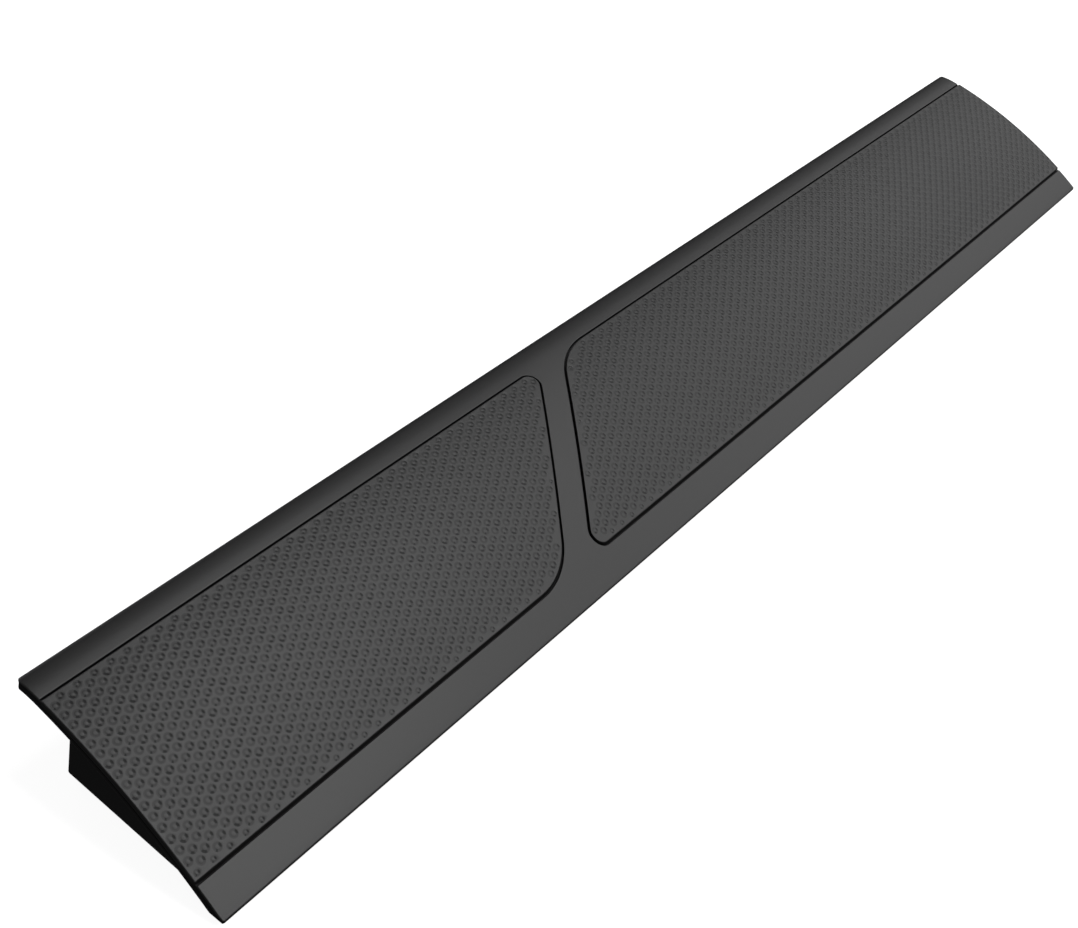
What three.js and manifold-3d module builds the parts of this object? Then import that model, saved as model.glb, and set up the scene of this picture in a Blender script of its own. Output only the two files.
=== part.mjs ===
// Keyboard wrist rest: a curved top shell with two textured grip pads, a wedge-shaped base tray
// that stands on rubber feet, and two pairs of snap prongs that hook into a keyboard's front edge.
// Millimetres. X runs along the rest, +Y points to the keyboard, +Z is up, and Z = 0 is the desk.

import * as THREE from 'three';
import { mergeVertices } from 'three/addons/utils/BufferGeometryUtils.js';
import Module from 'manifold-3d';

// Overall size
const LENGTH = 440;
const FRONT_Y = -34.3;
const CLIP_TIP_Y = 34.3;
const LIFT = 1;                        // height of the base and the front lip above the desk

// Shell section: a long crown arc, a tighter crest arc and a half-round rear edge
const SHELL_THICKNESS = 2.6;
const CROWN = { y: 42.6, z: -133.7, radius: 155.8 };
const CREST_START_Y = 21.9;
const CREST_RADIUS = 28;
const CREST_END_ANGLE = THREE.MathUtils.degToRad(3.5);
const NOSE_RADIUS = 0.5;
const REAR_CORNER_RADIUS = 1.6;
const FRONT_CORNER_RADIUS = 0.6;
const CROWN_STEPS = 18;                // facets along each arc
const CREST_STEPS = 4;
const NOSE_STEPS = 3;
const REAR_ROUND_STEPS = 8;

// Grip pads: the groove round each pad, and the slanted bridge between the pads
const GROOVE = { rearY: 20.6, frontY: -26.3, width: 0.8 };
const BRIDGE_SLOPE = 0.9725;           // X per Y along the slanted pad ends
const LEFT_PAD_END_X = -72.4;          // groove lines half-way across the pads
const RIGHT_PAD_END_X = -61.3;
const SHARP_CORNER_RADIUS = 3;
const WIDE_CORNER_RADIUS = 23;
const RECESS_DEPTH = 1.3;
const PAD_UNDERSIDE = 1.1;             // depth of the pad's underside below the shell's surface
const PAD_PROUD = 0.25;
const OUTLINE_STEPS = 8;
const CLEARANCE = 1;                   // how far a cutting solid reaches past what it cuts

// Base tray
const BASE_HALF_LENGTH = 217.6;
const BASE_REAR = { footY: 14.6, topY: 13.9, topZ: 18 };
const BASE_WALL = 2;
const BASE_CORNER_RADIUS = 0.5;
const RIB = { thickness: 1.2, pitch: 40, count: 10, frontY: -22, rearY: 13 };
const ROOT_SINK = 1;                   // how far ribs, bosses and posts reach into the wall they stand on
const GAP = 0.3;                       // between pieces that meet
const TALL = 30;                       // higher than anything on the rest

// Screws between base and shell
const SCREW_X = [-196, -80, 80, 196];
const SCREW_Y = [-9.1, 8];
const SEAT_Z = 3.4;                    // where a screw's head bears
const BOSS = { radius: 5, topZ: 5.6, headRadius: 3.2, holeRadius: 1.7 };
const POST = { radius: 3.4, boreRadius: 1.35, boreTopZ: 10.4, rootDepth: 1.9 };
const SCREW = { headRadius: 2.8, headHeight: 1.5, shankRadius: 1.2, length: 6.4, pointLength: 1 };
const HEAD_PROFILE = [[0.55, 1], [0.9, 0.7], [1, 0.3]];  // shares of the head's radius and height
const HEAD_GAP = 0.1;                  // between a screw's head and its seat
const RECESS_HALF_WIDTH = 0.35;        // cross recess in a screw's head
const ROUND_STEPS = 20;
const SCREW_STEPS = 16;

// Clips
const CLIP_X = 160;
const CARRIER = { halfWidth: 17, frontY: 2, rearY: 12, lowZ: 6, highZ: 9.2 };
const CARRIER_SCREW = { x: 13.2, y: 5.6, postRadius: 3, shankLength: 6 };
const ARM = { innerX: 5.5, outerX: 9.5, rootY: 8, lowZ: 5.9, highZ: 9.3, rootSteps: 8 };
const BARB = { x: 11, catchY: 30.6, lowY: 30.9, highY: 31.7, tipInset: 0.8, tipCorner: 0.6 };
const ARM_SLOT_GAP = 0.6;
const WINDOW = { lowZ: 5.2, highZ: 10, inner: 1.1, outer: 0.6 };

// Rubber feet
const FOOT_X = [-160, 0, 160];
const FOOT_Y = [-20, 8];
const FOOT = { halfLength: 12, halfWidth: 3.5, topZ: 1.5, recessZ: 1.7 };

const wasm = await Module();
wasm.setup();

// ---------- Solids ----------

function toSolid(geometry) {
  const plain = geometry.index ? geometry.toNonIndexed() : geometry.clone();
  plain.deleteAttribute('normal');
  plain.deleteAttribute('uv');
  const merged = mergeVertices(plain, 1e-4);
  return new wasm.Manifold(new wasm.Mesh({
    numProp: 3,
    vertProperties: new Float32Array(merged.attributes.position.array),
    triVerts: new Uint32Array(merged.index.array),
  }));
}

function toGeometry(solid) {
  const mesh = solid.getMesh();
  const geometry = new THREE.BufferGeometry();
  geometry.setAttribute('position', new THREE.BufferAttribute(new Float32Array(mesh.vertProperties), 3));
  geometry.setIndex(new THREE.BufferAttribute(new Uint32Array(mesh.triVerts), 1));
  geometry.computeVertexNormals();
  return geometry;
}

function piece(name, solid, material) {
  const mesh = new THREE.Mesh(toGeometry(solid), material());
  mesh.name = name;
  return mesh;
}

// A prism along X whose outline is a list of [y, z].
function prismX(outline, lowX, highX) {
  const shape = new THREE.Shape(outline.map(([y, z]) => new THREE.Vector2(y, z)));
  const geometry = new THREE.ExtrudeGeometry(shape, { depth: highX - lowX, bevelEnabled: false });
  const toSection = new THREE.Matrix4().makeBasis(
    new THREE.Vector3(0, 1, 0),
    new THREE.Vector3(0, 0, 1),
    new THREE.Vector3(1, 0, 0),
  );
  geometry.applyMatrix4(toSection);
  geometry.translate(lowX, 0, 0);
  return toSolid(geometry);
}

// A prism along Z whose outline is a list of [x, y].
function prismZ(outline, lowZ, highZ) {
  const shape = new THREE.Shape(outline.map(([x, y]) => new THREE.Vector2(x, y)));
  const geometry = new THREE.ExtrudeGeometry(shape, { depth: highZ - lowZ, bevelEnabled: false });
  geometry.translate(0, 0, lowZ);
  return toSolid(geometry);
}

function box(low, high) {
  const size = high.map((value, axis) => value - low[axis]);
  const geometry = new THREE.BoxGeometry(...size);
  geometry.translate(...low.map((value, axis) => value + size[axis] / 2));
  return toSolid(geometry);
}

function rod(x, y, radius, lowZ, highZ) {
  const geometry = new THREE.CylinderGeometry(radius, radius, highZ - lowZ, ROUND_STEPS);
  geometry.rotateX(Math.PI / 2);
  geometry.translate(x, y, (lowZ + highZ) / 2);
  return toSolid(geometry);
}

function union(solids) {
  return solids.reduce((sum, solid) => sum.add(solid));
}

// ---------- Outlines ----------

// Points on an arc in the Y-Z section. Angles are measured from +Z towards +Y.
function sectionArc(centre, radius, from, to, steps) {
  const points = [];
  for (let i = 0; i <= steps; i += 1) {
    const angle = from + (to - from) * i / steps;
    points.push([centre.y + radius * Math.sin(angle), centre.z + radius * Math.cos(angle)]);
  }
  return points;
}

// A closed outline through corners given as { at: [x, y], radius }.
function roundedOutline(corners, steps) {
  const points = [];
  corners.forEach((corner, i) => {
    const here = new THREE.Vector2(...corner.at);
    if (!corner.radius) {
      points.push([here.x, here.y]);
      return;
    }
    const before = new THREE.Vector2(...corners[(i + corners.length - 1) % corners.length].at);
    const after = new THREE.Vector2(...corners[(i + 1) % corners.length].at);
    const toBefore = before.sub(here).normalize();
    const toAfter = after.sub(here).normalize();
    const halfAngle = Math.acos(toBefore.dot(toAfter)) / 2;
    const bisector = toBefore.clone().add(toAfter).normalize();
    const centre = here.clone().addScaledVector(bisector, corner.radius / Math.sin(halfAngle));
    const start = here.clone().addScaledVector(toBefore, corner.radius / Math.tan(halfAngle)).sub(centre);
    const turn = Math.PI - 2 * halfAngle;
    const direction = Math.sign(-toBefore.cross(toAfter));
    for (let k = 0; k <= steps; k += 1) {
      const arm = start.clone().rotateAround(new THREE.Vector2(), direction * turn * k / steps);
      points.push([centre.x + arm.x, centre.y + arm.y]);
    }
  });
  return points;
}

// ---------- Shell section ----------

const crestStartAngle = Math.asin((CREST_START_Y - CROWN.y) / CROWN.radius);
const crest = {
  y: CROWN.y + (CROWN.radius - CREST_RADIUS) * Math.sin(crestStartAngle),
  z: CROWN.z + (CROWN.radius - CREST_RADIUS) * Math.cos(crestStartAngle),
};

// The shell's upper surface moved down by depth, from angle `from` on the crown to the crest's end.
function surfaceLine(depth, from) {
  const crownPart = sectionArc(CROWN, CROWN.radius - depth, from, crestStartAngle, CROWN_STEPS);
  const crestPart = sectionArc(crest, CREST_RADIUS - depth, crestStartAngle, CREST_END_ANGLE, CREST_STEPS);
  return [...crownPart, ...crestPart.slice(1)];
}

// The angle on the crown where the surface, moved down by depth, reaches a height.
function crownAngleAt(depth, z) {
  return -Math.acos((z - CROWN.z) / (CROWN.radius - depth));
}

// Everything between two depths under the shell's surface, across its whole depth.
function layer(upperDepth, lowerDepth, lowX, highX) {
  const upper = surfaceLine(upperDepth, crownAngleAt(upperDepth, LIFT));
  const lower = surfaceLine(lowerDepth, crownAngleAt(lowerDepth, LIFT));
  return prismX([...upper, ...lower.reverse()], lowX, highX);
}

// Everything below the surface moved down by depth.
function below(depth, halfLength) {
  const line = surfaceLine(depth, crownAngleAt(depth, LIFT));
  const rearY = line[line.length - 1][0];
  return prismX([...line, [rearY, LIFT]], -halfLength, halfLength);
}

function shellSection() {
  const noseZ = CROWN.z + Math.sqrt((CROWN.radius - NOSE_RADIUS) ** 2 - (FRONT_Y + NOSE_RADIUS - CROWN.y) ** 2);
  const nose = { y: FRONT_Y + NOSE_RADIUS, z: noseZ };
  const noseAngle = Math.atan2(nose.y - CROWN.y, nose.z - CROWN.z);
  const rearRadius = SHELL_THICKNESS / 2;
  const rear = {
    y: crest.y + (CREST_RADIUS - rearRadius) * Math.sin(CREST_END_ANGLE),
    z: crest.z + (CREST_RADIUS - rearRadius) * Math.cos(CREST_END_ANGLE),
  };
  const rearRound = sectionArc(rear, rearRadius, CREST_END_ANGLE, CREST_END_ANGLE + Math.PI, REAR_ROUND_STEPS);
  const underside = surfaceLine(SHELL_THICKNESS, crownAngleAt(SHELL_THICKNESS, LIFT)).reverse();
  return [
    [FRONT_Y, LIFT],
    ...sectionArc(nose, NOSE_RADIUS, -Math.PI / 2, noseAngle, NOSE_STEPS).slice(0, -1),
    ...surfaceLine(0, noseAngle),
    ...rearRound.slice(1, -1),
    ...underside,
  ];
}

function shellPlan() {
  const half = LENGTH / 2;
  const edgeY = Math.max(...shellSection().map(([y]) => y));
  const corners = [
    { at: [-half, FRONT_Y], radius: FRONT_CORNER_RADIUS },
    { at: [half, FRONT_Y], radius: FRONT_CORNER_RADIUS },
    { at: [half, edgeY], radius: REAR_CORNER_RADIUS },
    { at: [-half, edgeY], radius: REAR_CORNER_RADIUS },
  ];
  return prismZ(roundedOutline(corners, OUTLINE_STEPS), 0, TALL);
}

// ---------- Grip pads ----------

// X of a slanted groove line at Y, with the line moved sideways by shift.
function bridgeX(middleX, y, shift) {
  const middleY = (GROOVE.rearY + GROOVE.frontY) / 2;
  return middleX + BRIDGE_SLOPE * (y - middleY) + shift * Math.hypot(1, BRIDGE_SLOPE);
}

// A pad's plan outline, with its edges moved outward from the groove's centre line by grow.
function padOutline(side, grow, endX) {
  const rearY = GROOVE.rearY + grow;
  const frontY = GROOVE.frontY - grow;
  const middleX = side < 0 ? LEFT_PAD_END_X : RIGHT_PAD_END_X;
  const slantRearX = bridgeX(middleX, rearY, -side * grow);
  const slantFrontX = bridgeX(middleX, frontY, -side * grow);
  const rearRadius = (side < 0 ? SHARP_CORNER_RADIUS : WIDE_CORNER_RADIUS) + grow;
  const frontRadius = (side < 0 ? WIDE_CORNER_RADIUS : SHARP_CORNER_RADIUS) + grow;
  return roundedOutline([
    { at: [side * endX, frontY] },
    { at: [slantFrontX, frontY], radius: frontRadius },
    { at: [slantRearX, rearY], radius: rearRadius },
    { at: [side * endX, rearY] },
  ], OUTLINE_STEPS);
}

function gripPad(side) {
  const half = LENGTH / 2;
  const plan = prismZ(padOutline(side, -GROOVE.width / 2, half), 0, TALL);
  return layer(-PAD_PROUD, PAD_UNDERSIDE, -half, half).intersect(plan);
}

function padRecess(side) {
  const beyond = LENGTH / 2 + CLEARANCE;
  const plan = prismZ(padOutline(side, GROOVE.width / 2, beyond), 0, TALL);
  return layer(-CLEARANCE, RECESS_DEPTH, -beyond, beyond).intersect(plan);
}

// ---------- Top shell ----------

function screwPlaces() {
  return SCREW_Y.flatMap((y) => SCREW_X.map((x) => [x, y]));
}

function screwPost([x, y]) {
  const post = rod(x, y, POST.radius, BOSS.topZ + GAP, TALL);
  return post.intersect(below(POST.rootDepth, LENGTH / 2));
}

function topShell() {
  const half = LENGTH / 2;
  const sheet = prismX(shellSection(), -half, half).intersect(shellPlan());
  const posts = screwPlaces().map(screwPost);
  const bores = screwPlaces().map(([x, y]) => rod(x, y, POST.boreRadius, LIFT, POST.boreTopZ));
  return union([sheet, ...posts]).subtract(union([padRecess(-1), padRecess(1), ...bores]));
}

// ---------- Base tray ----------

// The tray's section, moved inward by inset on the rear side and up to floorZ.
function traySection(inset, floorZ, cornerRadius) {
  const slope = (BASE_REAR.topY - BASE_REAR.footY) / (BASE_REAR.topZ - LIFT);
  const rearAt = (z) => BASE_REAR.footY - inset + slope * (z - LIFT);
  const corners = [
    { at: [FRONT_Y, floorZ] },
    { at: [rearAt(floorZ), floorZ], radius: cornerRadius },
    { at: [rearAt(TALL), TALL] },
    { at: [FRONT_Y, TALL] },
  ];
  return roundedOutline(corners, OUTLINE_STEPS);
}

function trayRibs() {
  const ribs = [];
  for (let i = 0; i < RIB.count; i += 1) {
    const x = (i - (RIB.count - 1) / 2) * RIB.pitch;
    const low = [x - RIB.thickness / 2, RIB.frontY, LIFT + ROOT_SINK];
    const high = [x + RIB.thickness / 2, RIB.rearY, TALL];
    ribs.push(box(low, high));
  }
  return ribs;
}

function carrierScrewPlaces(clipX) {
  return [-1, 1].map((side) => [clipX + side * CARRIER_SCREW.x, CARRIER_SCREW.y]);
}

function carrierPost([x, y]) {
  return rod(x, y, CARRIER_SCREW.postRadius, LIFT + ROOT_SINK, CARRIER.lowZ - GAP);
}

function armWindow(clipX, side) {
  const inner = clipX + side * (ARM.innerX - WINDOW.inner);
  const outer = clipX + side * (ARM.outerX + WINDOW.outer);
  const lowX = Math.min(inner, outer);
  const highX = Math.max(inner, outer);
  const low = [lowX, BASE_REAR.topY - BASE_WALL - CLEARANCE, WINDOW.lowZ];
  return box(low, [highX, BASE_REAR.footY + CLEARANCE, WINDOW.highZ]);
}

function footPlaces() {
  return FOOT_Y.flatMap((y) => FOOT_X.map((x) => [x, y]));
}

function footSolid([x, y], grow, lowZ, highZ) {
  const halfLength = FOOT.halfLength + grow;
  const halfWidth = FOOT.halfWidth + grow;
  const ends = [-1, 1].map((end) => rod(x + end * (halfLength - halfWidth), y, halfWidth, lowZ, highZ));
  const middle = box(
    [x - halfLength + halfWidth, y - halfWidth, lowZ],
    [x + halfLength - halfWidth, y + halfWidth, highZ],
  );
  return union([middle, ...ends]);
}

function baseTray() {
  const outer = prismX(traySection(0, LIFT, BASE_CORNER_RADIUS), -BASE_HALF_LENGTH, BASE_HALF_LENGTH);
  const innerHalf = BASE_HALF_LENGTH - BASE_WALL;
  const inner = prismX(traySection(BASE_WALL, LIFT + BASE_WALL, 0), -innerHalf, innerHalf);
  const bosses = screwPlaces().map(([x, y]) => rod(x, y, BOSS.radius, LIFT + ROOT_SINK, BOSS.topZ));
  const clipXs = [-CLIP_X, CLIP_X];
  const posts = clipXs.flatMap((clipX) => carrierScrewPlaces(clipX).map(carrierPost));
  const solid = union([outer.subtract(inner), ...trayRibs(), ...bosses, ...posts]);
  const cuts = [
    ...screwPlaces().map(([x, y]) => rod(x, y, BOSS.headRadius, 0, SEAT_Z)),
    ...screwPlaces().map(([x, y]) => rod(x, y, BOSS.holeRadius, 0, TALL)),
    ...clipXs.flatMap((clipX) => carrierScrewPlaces(clipX)
      .map(([x, y]) => rod(x, y, POST.boreRadius, LIFT + BASE_WALL, CARRIER.lowZ))),
    ...clipXs.flatMap((clipX) => [-1, 1].map((side) => armWindow(clipX, side))),
    ...footPlaces().map((place) => footSolid(place, GAP, 0, FOOT.recessZ)),
  ];
  return solid.subtract(union(cuts)).intersect(below(SHELL_THICKNESS + GAP, LENGTH / 2));
}

// ---------- Clips ----------

// A carrier plate with a round-ended slot for the root of each prong.
function clipCarrier(clipX) {
  const low = [clipX - CARRIER.halfWidth, CARRIER.frontY, CARRIER.lowZ];
  const high = [clipX + CARRIER.halfWidth, CARRIER.rearY, CARRIER.highZ];
  const middleX = (ARM.innerX + ARM.outerX) / 2;
  const slotRadius = (ARM.outerX - ARM.innerX) / 2 + ARM_SLOT_GAP;
  const cuts = [-1, 1].flatMap((side) => {
    const x = clipX + side * middleX;
    return [
      rod(x, ARM.rootY, slotRadius, 0, TALL),
      box([x - slotRadius, ARM.rootY, 0], [x + slotRadius, CARRIER.rearY + CLEARANCE, TALL]),
    ];
  });
  const holes = carrierScrewPlaces(clipX).map(([x, y]) => rod(x, y, BOSS.holeRadius, 0, TALL));
  return box(low, high).subtract(union([...cuts, ...holes]));
}

// A prong: round root, straight stem, and an outward barb with a long lead-in.
function clipArm(clipX, side) {
  const rootRadius = (ARM.outerX - ARM.innerX) / 2;
  const middleX = (ARM.innerX + ARM.outerX) / 2;
  const outline = [];
  for (let i = 0; i <= ARM.rootSteps; i += 1) {
    const angle = Math.PI + Math.PI * i / ARM.rootSteps;
    outline.push([middleX + rootRadius * Math.cos(angle), ARM.rootY + rootRadius * Math.sin(angle)]);
  }
  outline.push(
    [ARM.outerX, BARB.catchY],
    [BARB.x, BARB.lowY],
    [BARB.x, BARB.highY],
    [ARM.outerX - BARB.tipInset, CLIP_TIP_Y],
    [ARM.innerX + BARB.tipCorner, CLIP_TIP_Y],
    [ARM.innerX, CLIP_TIP_Y - BARB.tipCorner],
  );
  const placed = outline.map(([x, y]) => [clipX + side * x, y]);
  return prismZ(placed, ARM.lowZ, ARM.highZ);
}

// ---------- Screws ----------

// A pan-head self-tapping screw with its head's bearing face at z = 0 and its point at +length.
function screwSolid(length) {
  const { headRadius, headHeight, shankRadius, pointLength } = SCREW;
  const profile = [
    [0, -headHeight],
    ...HEAD_PROFILE.map(([across, along]) => [headRadius * across, -headHeight * along]),
    [headRadius, 0],
    [shankRadius, 0],
    [shankRadius, length - pointLength],
    [0, length],
  ].map(([radius, along]) => new THREE.Vector2(radius, along));
  const geometry = new THREE.LatheGeometry(profile, SCREW_STEPS);
  geometry.rotateX(Math.PI / 2);
  const reach = headRadius / 2;
  const lowZ = -headHeight - CLEARANCE;
  const highZ = -headHeight / 3;
  const cross = union([
    box([-reach, -RECESS_HALF_WIDTH, lowZ], [reach, RECESS_HALF_WIDTH, highZ]),
    box([-RECESS_HALF_WIDTH, -reach, lowZ], [RECESS_HALF_WIDTH, reach, highZ]),
  ]);
  return toSolid(geometry).subtract(cross);
}

function baseScrew([x, y]) {
  return screwSolid(SCREW.length).translate([x, y, SEAT_Z - HEAD_GAP]);
}

function carrierScrew([x, y]) {
  const turned = screwSolid(CARRIER_SCREW.shankLength).rotate([180, 0, 0]);
  return turned.translate([x, y, CARRIER.highZ + HEAD_GAP]);
}

// ---------- Materials ----------

function plastic(color, roughness) {
  return new THREE.MeshStandardMaterial({ color, roughness, metalness: 0 });
}

const softTouchShell = () => plastic(0x2b2b2c, 0.4);
const texturedPad = () => plastic(0x2a2a2b, 0.45);
const blackPlastic = () => plastic(0x121213, 0.5);
const clipPlastic = () => plastic(0x18181a, 0.42);
const footRubber = () => plastic(0x1b1b1c, 0.9);
const screwSteel = () => new THREE.MeshStandardMaterial({ color: 0x8b8d90, roughness: 0.35, metalness: 1 });

// ---------- Assembly ----------

function clipPieces(sideName, clipX) {
  const outward = Math.sign(clipX);
  return [
    piece(`${sideName}_clip_carrier`, clipCarrier(clipX), blackPlastic),
    piece(`${sideName}_clip_outer_prong`, clipArm(clipX, outward), clipPlastic),
    piece(`${sideName}_clip_inner_prong`, clipArm(clipX, -outward), clipPlastic),
    ...carrierScrewPlaces(clipX).map((place, i) => (
      piece(`${sideName}_clip_screw_${i + 1}`, carrierScrew(place), screwSteel)
    )),
  ];
}

const wristRest = new THREE.Group();
wristRest.add(
  piece('top_shell', topShell(), softTouchShell),
  piece('left_grip_pad', gripPad(-1), texturedPad),
  piece('right_grip_pad', gripPad(1), texturedPad),
  piece('base_tray', baseTray(), blackPlastic),
  ...clipPieces('left', -CLIP_X),
  ...clipPieces('right', CLIP_X),
  ...screwPlaces().map((place, i) => piece(`base_screw_${i + 1}`, baseScrew(place), screwSteel)),
  ...footPlaces().map((place, i) => (
    piece(`rubber_foot_${i + 1}`, footSolid(place, 0, 0, FOOT.topZ), footRubber)
  )),
);

export default wristRest;
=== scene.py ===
"""Looks of the keyboard wrist rest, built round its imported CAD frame.

Lengths in this file are millimetres in the row frame and are scaled to metres when a mesh is made.
The studio, its lights and the camera are in metres.
"""

import math
import random

import bmesh
import bpy
import numpy as np
from mathutils import Matrix, Vector
from mathutils.geometry import delaunay_2d_cdt


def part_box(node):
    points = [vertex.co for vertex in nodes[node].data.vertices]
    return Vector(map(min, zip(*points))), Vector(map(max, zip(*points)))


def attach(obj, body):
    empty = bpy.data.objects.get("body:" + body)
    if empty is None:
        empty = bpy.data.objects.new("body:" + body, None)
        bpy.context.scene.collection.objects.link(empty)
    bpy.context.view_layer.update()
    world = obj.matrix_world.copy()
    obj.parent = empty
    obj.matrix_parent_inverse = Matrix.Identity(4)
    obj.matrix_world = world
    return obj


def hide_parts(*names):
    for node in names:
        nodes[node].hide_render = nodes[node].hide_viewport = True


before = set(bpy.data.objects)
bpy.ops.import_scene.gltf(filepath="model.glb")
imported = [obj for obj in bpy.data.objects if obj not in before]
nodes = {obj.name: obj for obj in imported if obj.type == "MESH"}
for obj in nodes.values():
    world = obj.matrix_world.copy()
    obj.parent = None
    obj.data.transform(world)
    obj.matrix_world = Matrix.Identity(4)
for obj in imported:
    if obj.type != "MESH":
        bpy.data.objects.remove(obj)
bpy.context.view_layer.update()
random.seed(7)

MM = 0.001
BODY = "rest"

# Shell section, as in the CAD
HALF_LENGTH = 220.0
FRONT_Y = -34.3
LIFT = 1.0
THICKNESS = 2.6
CROWN_Y, CROWN_Z, CROWN_RADIUS = 42.6, -133.7, 155.8
CREST_RADIUS = 28.0
CREST_START_Y = 21.9
CREST_START = math.asin((CREST_START_Y - CROWN_Y) / CROWN_RADIUS)
CREST_END = math.radians(3.5)
CREST_Y = CROWN_Y + (CROWN_RADIUS - CREST_RADIUS) * math.sin(CREST_START)
CREST_Z = CROWN_Z + (CROWN_RADIUS - CREST_RADIUS) * math.cos(CREST_START)
REAR_ROUND = THICKNESS / 2
REAR_ROUND_Y = CREST_Y + (CREST_RADIUS - REAR_ROUND) * math.sin(CREST_END)
REAR_ROUND_Z = CREST_Z + (CREST_RADIUS - REAR_ROUND) * math.cos(CREST_END)
REAR_EDGE_Y = REAR_ROUND_Y + REAR_ROUND
NOSE_RADIUS = 0.5
LIP_CORNER_RADIUS = 0.3
LIP_START = 0.05               # the flat under the lip starts this far in front of the hollow's edge
REAR_CORNER_RADIUS = 1.6
FRONT_CORNER_RADIUS = 0.6
CORNER_REACH = 6.0             # the plan corners are eased in over this length
END_ROUND = 0.25               # rounding of the shell's and the pads' end edges

# Facets along the arcs of the section
REAR_FACETS, CREST_FACETS, CROWN_FACETS, LIP_FACETS, NOSE_FACETS = 12, 5, 26, 4, 5

# Grooves and grip pads
GROOVE_REAR_Y, GROOVE_FRONT_Y, GROOVE_WIDTH = 20.6, -26.3, 0.66
BRIDGE_SLOPE = 0.9725
PAD_END_X = {-1: -72.4, 1: -61.3}
SHARP_RADIUS, WIDE_RADIUS = 3.0, 23.0
CORNER_CLEARANCE = 2.0         # a straight edge's columns start this far from its rounded corner
RECESS_DEPTH = 1.3
PAD_UNDERSIDE = 1.1
PAD_PROUD = 0.25
LEDGE_DEPTH = 0.85             # depth of the groove, whose floor is a ledge round the pad
LEDGE_END_DEPTH = 0.28         # its depth at the shell's ends
LEDGE_REACH = 0.1              # how far the ledge reaches in from the pad's side of the groove
GROOVE_RUN_OUT = 1.5           # the floor rises over this length
GROOVE_LIP = 0.15              # rounding of the groove's outer edge
PAD_EDGE = 0.15                # rounding of a pad's upper edge
SUPPORT = 0.12                 # a narrow flat beside each rounding, which keeps the shading of the flats clean
QUARTER_TURN = [math.radians(d) for d in (0, 22.5, 45, 67.5, 90)]
END_TURN = [math.radians(d) for d in (0, 30, 60, 90)]
CORNER_FACETS, SLANT_STEPS = 14, 10

# Columns of vertices across the rest
COLUMN_PITCH = 4.0
COLUMN_COUNT = 54
FLAT_END = HALF_LENGTH - END_ROUND - SUPPORT
CLOSE_COLUMNS = [214.5, 216.0, 217.5, 218.7, FLAT_END]   # closer together where the plan corners begin


def end_columns():
    """Distances from the middle of the columns that make the end rounding."""
    return [HALF_LENGTH - END_ROUND * (1 - math.sin(a)) for a in END_TURN]


half_columns = [COLUMN_PITCH * i for i in range(COLUMN_COUNT)] + CLOSE_COLUMNS + end_columns()
COLUMNS = sorted({round(v, 6) for v in half_columns} | {-round(v, 6) for v in half_columns})


# ---------- The shell's surface ----------

def surface_z(y, depth=0.0):
    """Height at y of the shell's upper surface moved down by depth."""
    crown = CROWN_RADIUS - depth
    crest = CREST_RADIUS - depth
    if y <= CROWN_Y + crown * math.sin(CREST_START):
        return CROWN_Z + math.sqrt(crown ** 2 - (y - CROWN_Y) ** 2)
    return CREST_Z + math.sqrt(max(crest ** 2 - (y - CREST_Y) ** 2, 0.0))


def surface_tilt(y):
    """Angle of the upper surface's normal from +Z towards +Y."""
    if y <= CREST_START_Y:
        return math.asin((y - CROWN_Y) / CROWN_RADIUS)
    return math.asin(min((y - CREST_Y) / CREST_RADIUS, 1.0))


def end_inset(x):
    """How far the skin is drawn in at x by the rounding of the end edges."""
    t = min(max(abs(x) - (HALF_LENGTH - END_ROUND), 0.0), END_ROUND)
    return END_ROUND - math.sqrt(END_ROUND ** 2 - t ** 2)


def corner_shift(x, y):
    """How far the plan's rounded corners draw a point of the end in along X."""
    if y > REAR_EDGE_Y - REAR_CORNER_RADIUS:
        radius, t = REAR_CORNER_RADIUS, y - (REAR_EDGE_Y - REAR_CORNER_RADIUS)
    elif y < FRONT_Y + FRONT_CORNER_RADIUS:
        radius, t = FRONT_CORNER_RADIUS, FRONT_Y + FRONT_CORNER_RADIUS - y
    else:
        return 0.0
    near = max(1 - (HALF_LENGTH - abs(x)) / CORNER_REACH, 0.0)
    drawn_in = radius - math.sqrt(max(radius * radius - min(t, radius) ** 2, 0.0))
    return -math.copysign(drawn_in * near ** 2, x)


def on_surface(x, y, depth, top=0.0, bottom=RECESS_DEPTH):
    """A point under the surface at plan (x, y); the end rounding fades out from top to bottom depth."""
    inset = end_inset(x)
    moved_y = y - inset * math.sin(surface_tilt(y))
    deep = depth + inset * (1 - (depth - top) / (bottom - top))
    return (x + corner_shift(x, y), moved_y, surface_z(moved_y, deep))


# ---------- Mesh helpers ----------

def point_inside(loop, x, y):
    inside = False
    j = len(loop) - 1
    for i in range(len(loop)):
        (xi, yi), (xj, yj) = loop[i], loop[j]
        if (yi > y) != (yj > y) and x < (xj - xi) * (y - yi) / (yj - yi) + xi:
            inside = not inside
        j = i
    return inside


def clearance(loop, x, y):
    """Distance from a plan point to a closed outline, negative outside it."""
    corners = np.array(loop)
    edge = np.roll(corners, -1, axis=0) - corners
    here = np.array((x, y))
    share = ((here - corners) * edge).sum(1) / np.maximum((edge ** 2).sum(1), 1e-12)
    nearest = corners + edge * np.clip(share, 0, 1)[:, None]
    gap = np.sqrt(((nearest - here) ** 2).sum(1)).min()
    return gap if point_inside(loop, x, y) else -gap


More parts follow.
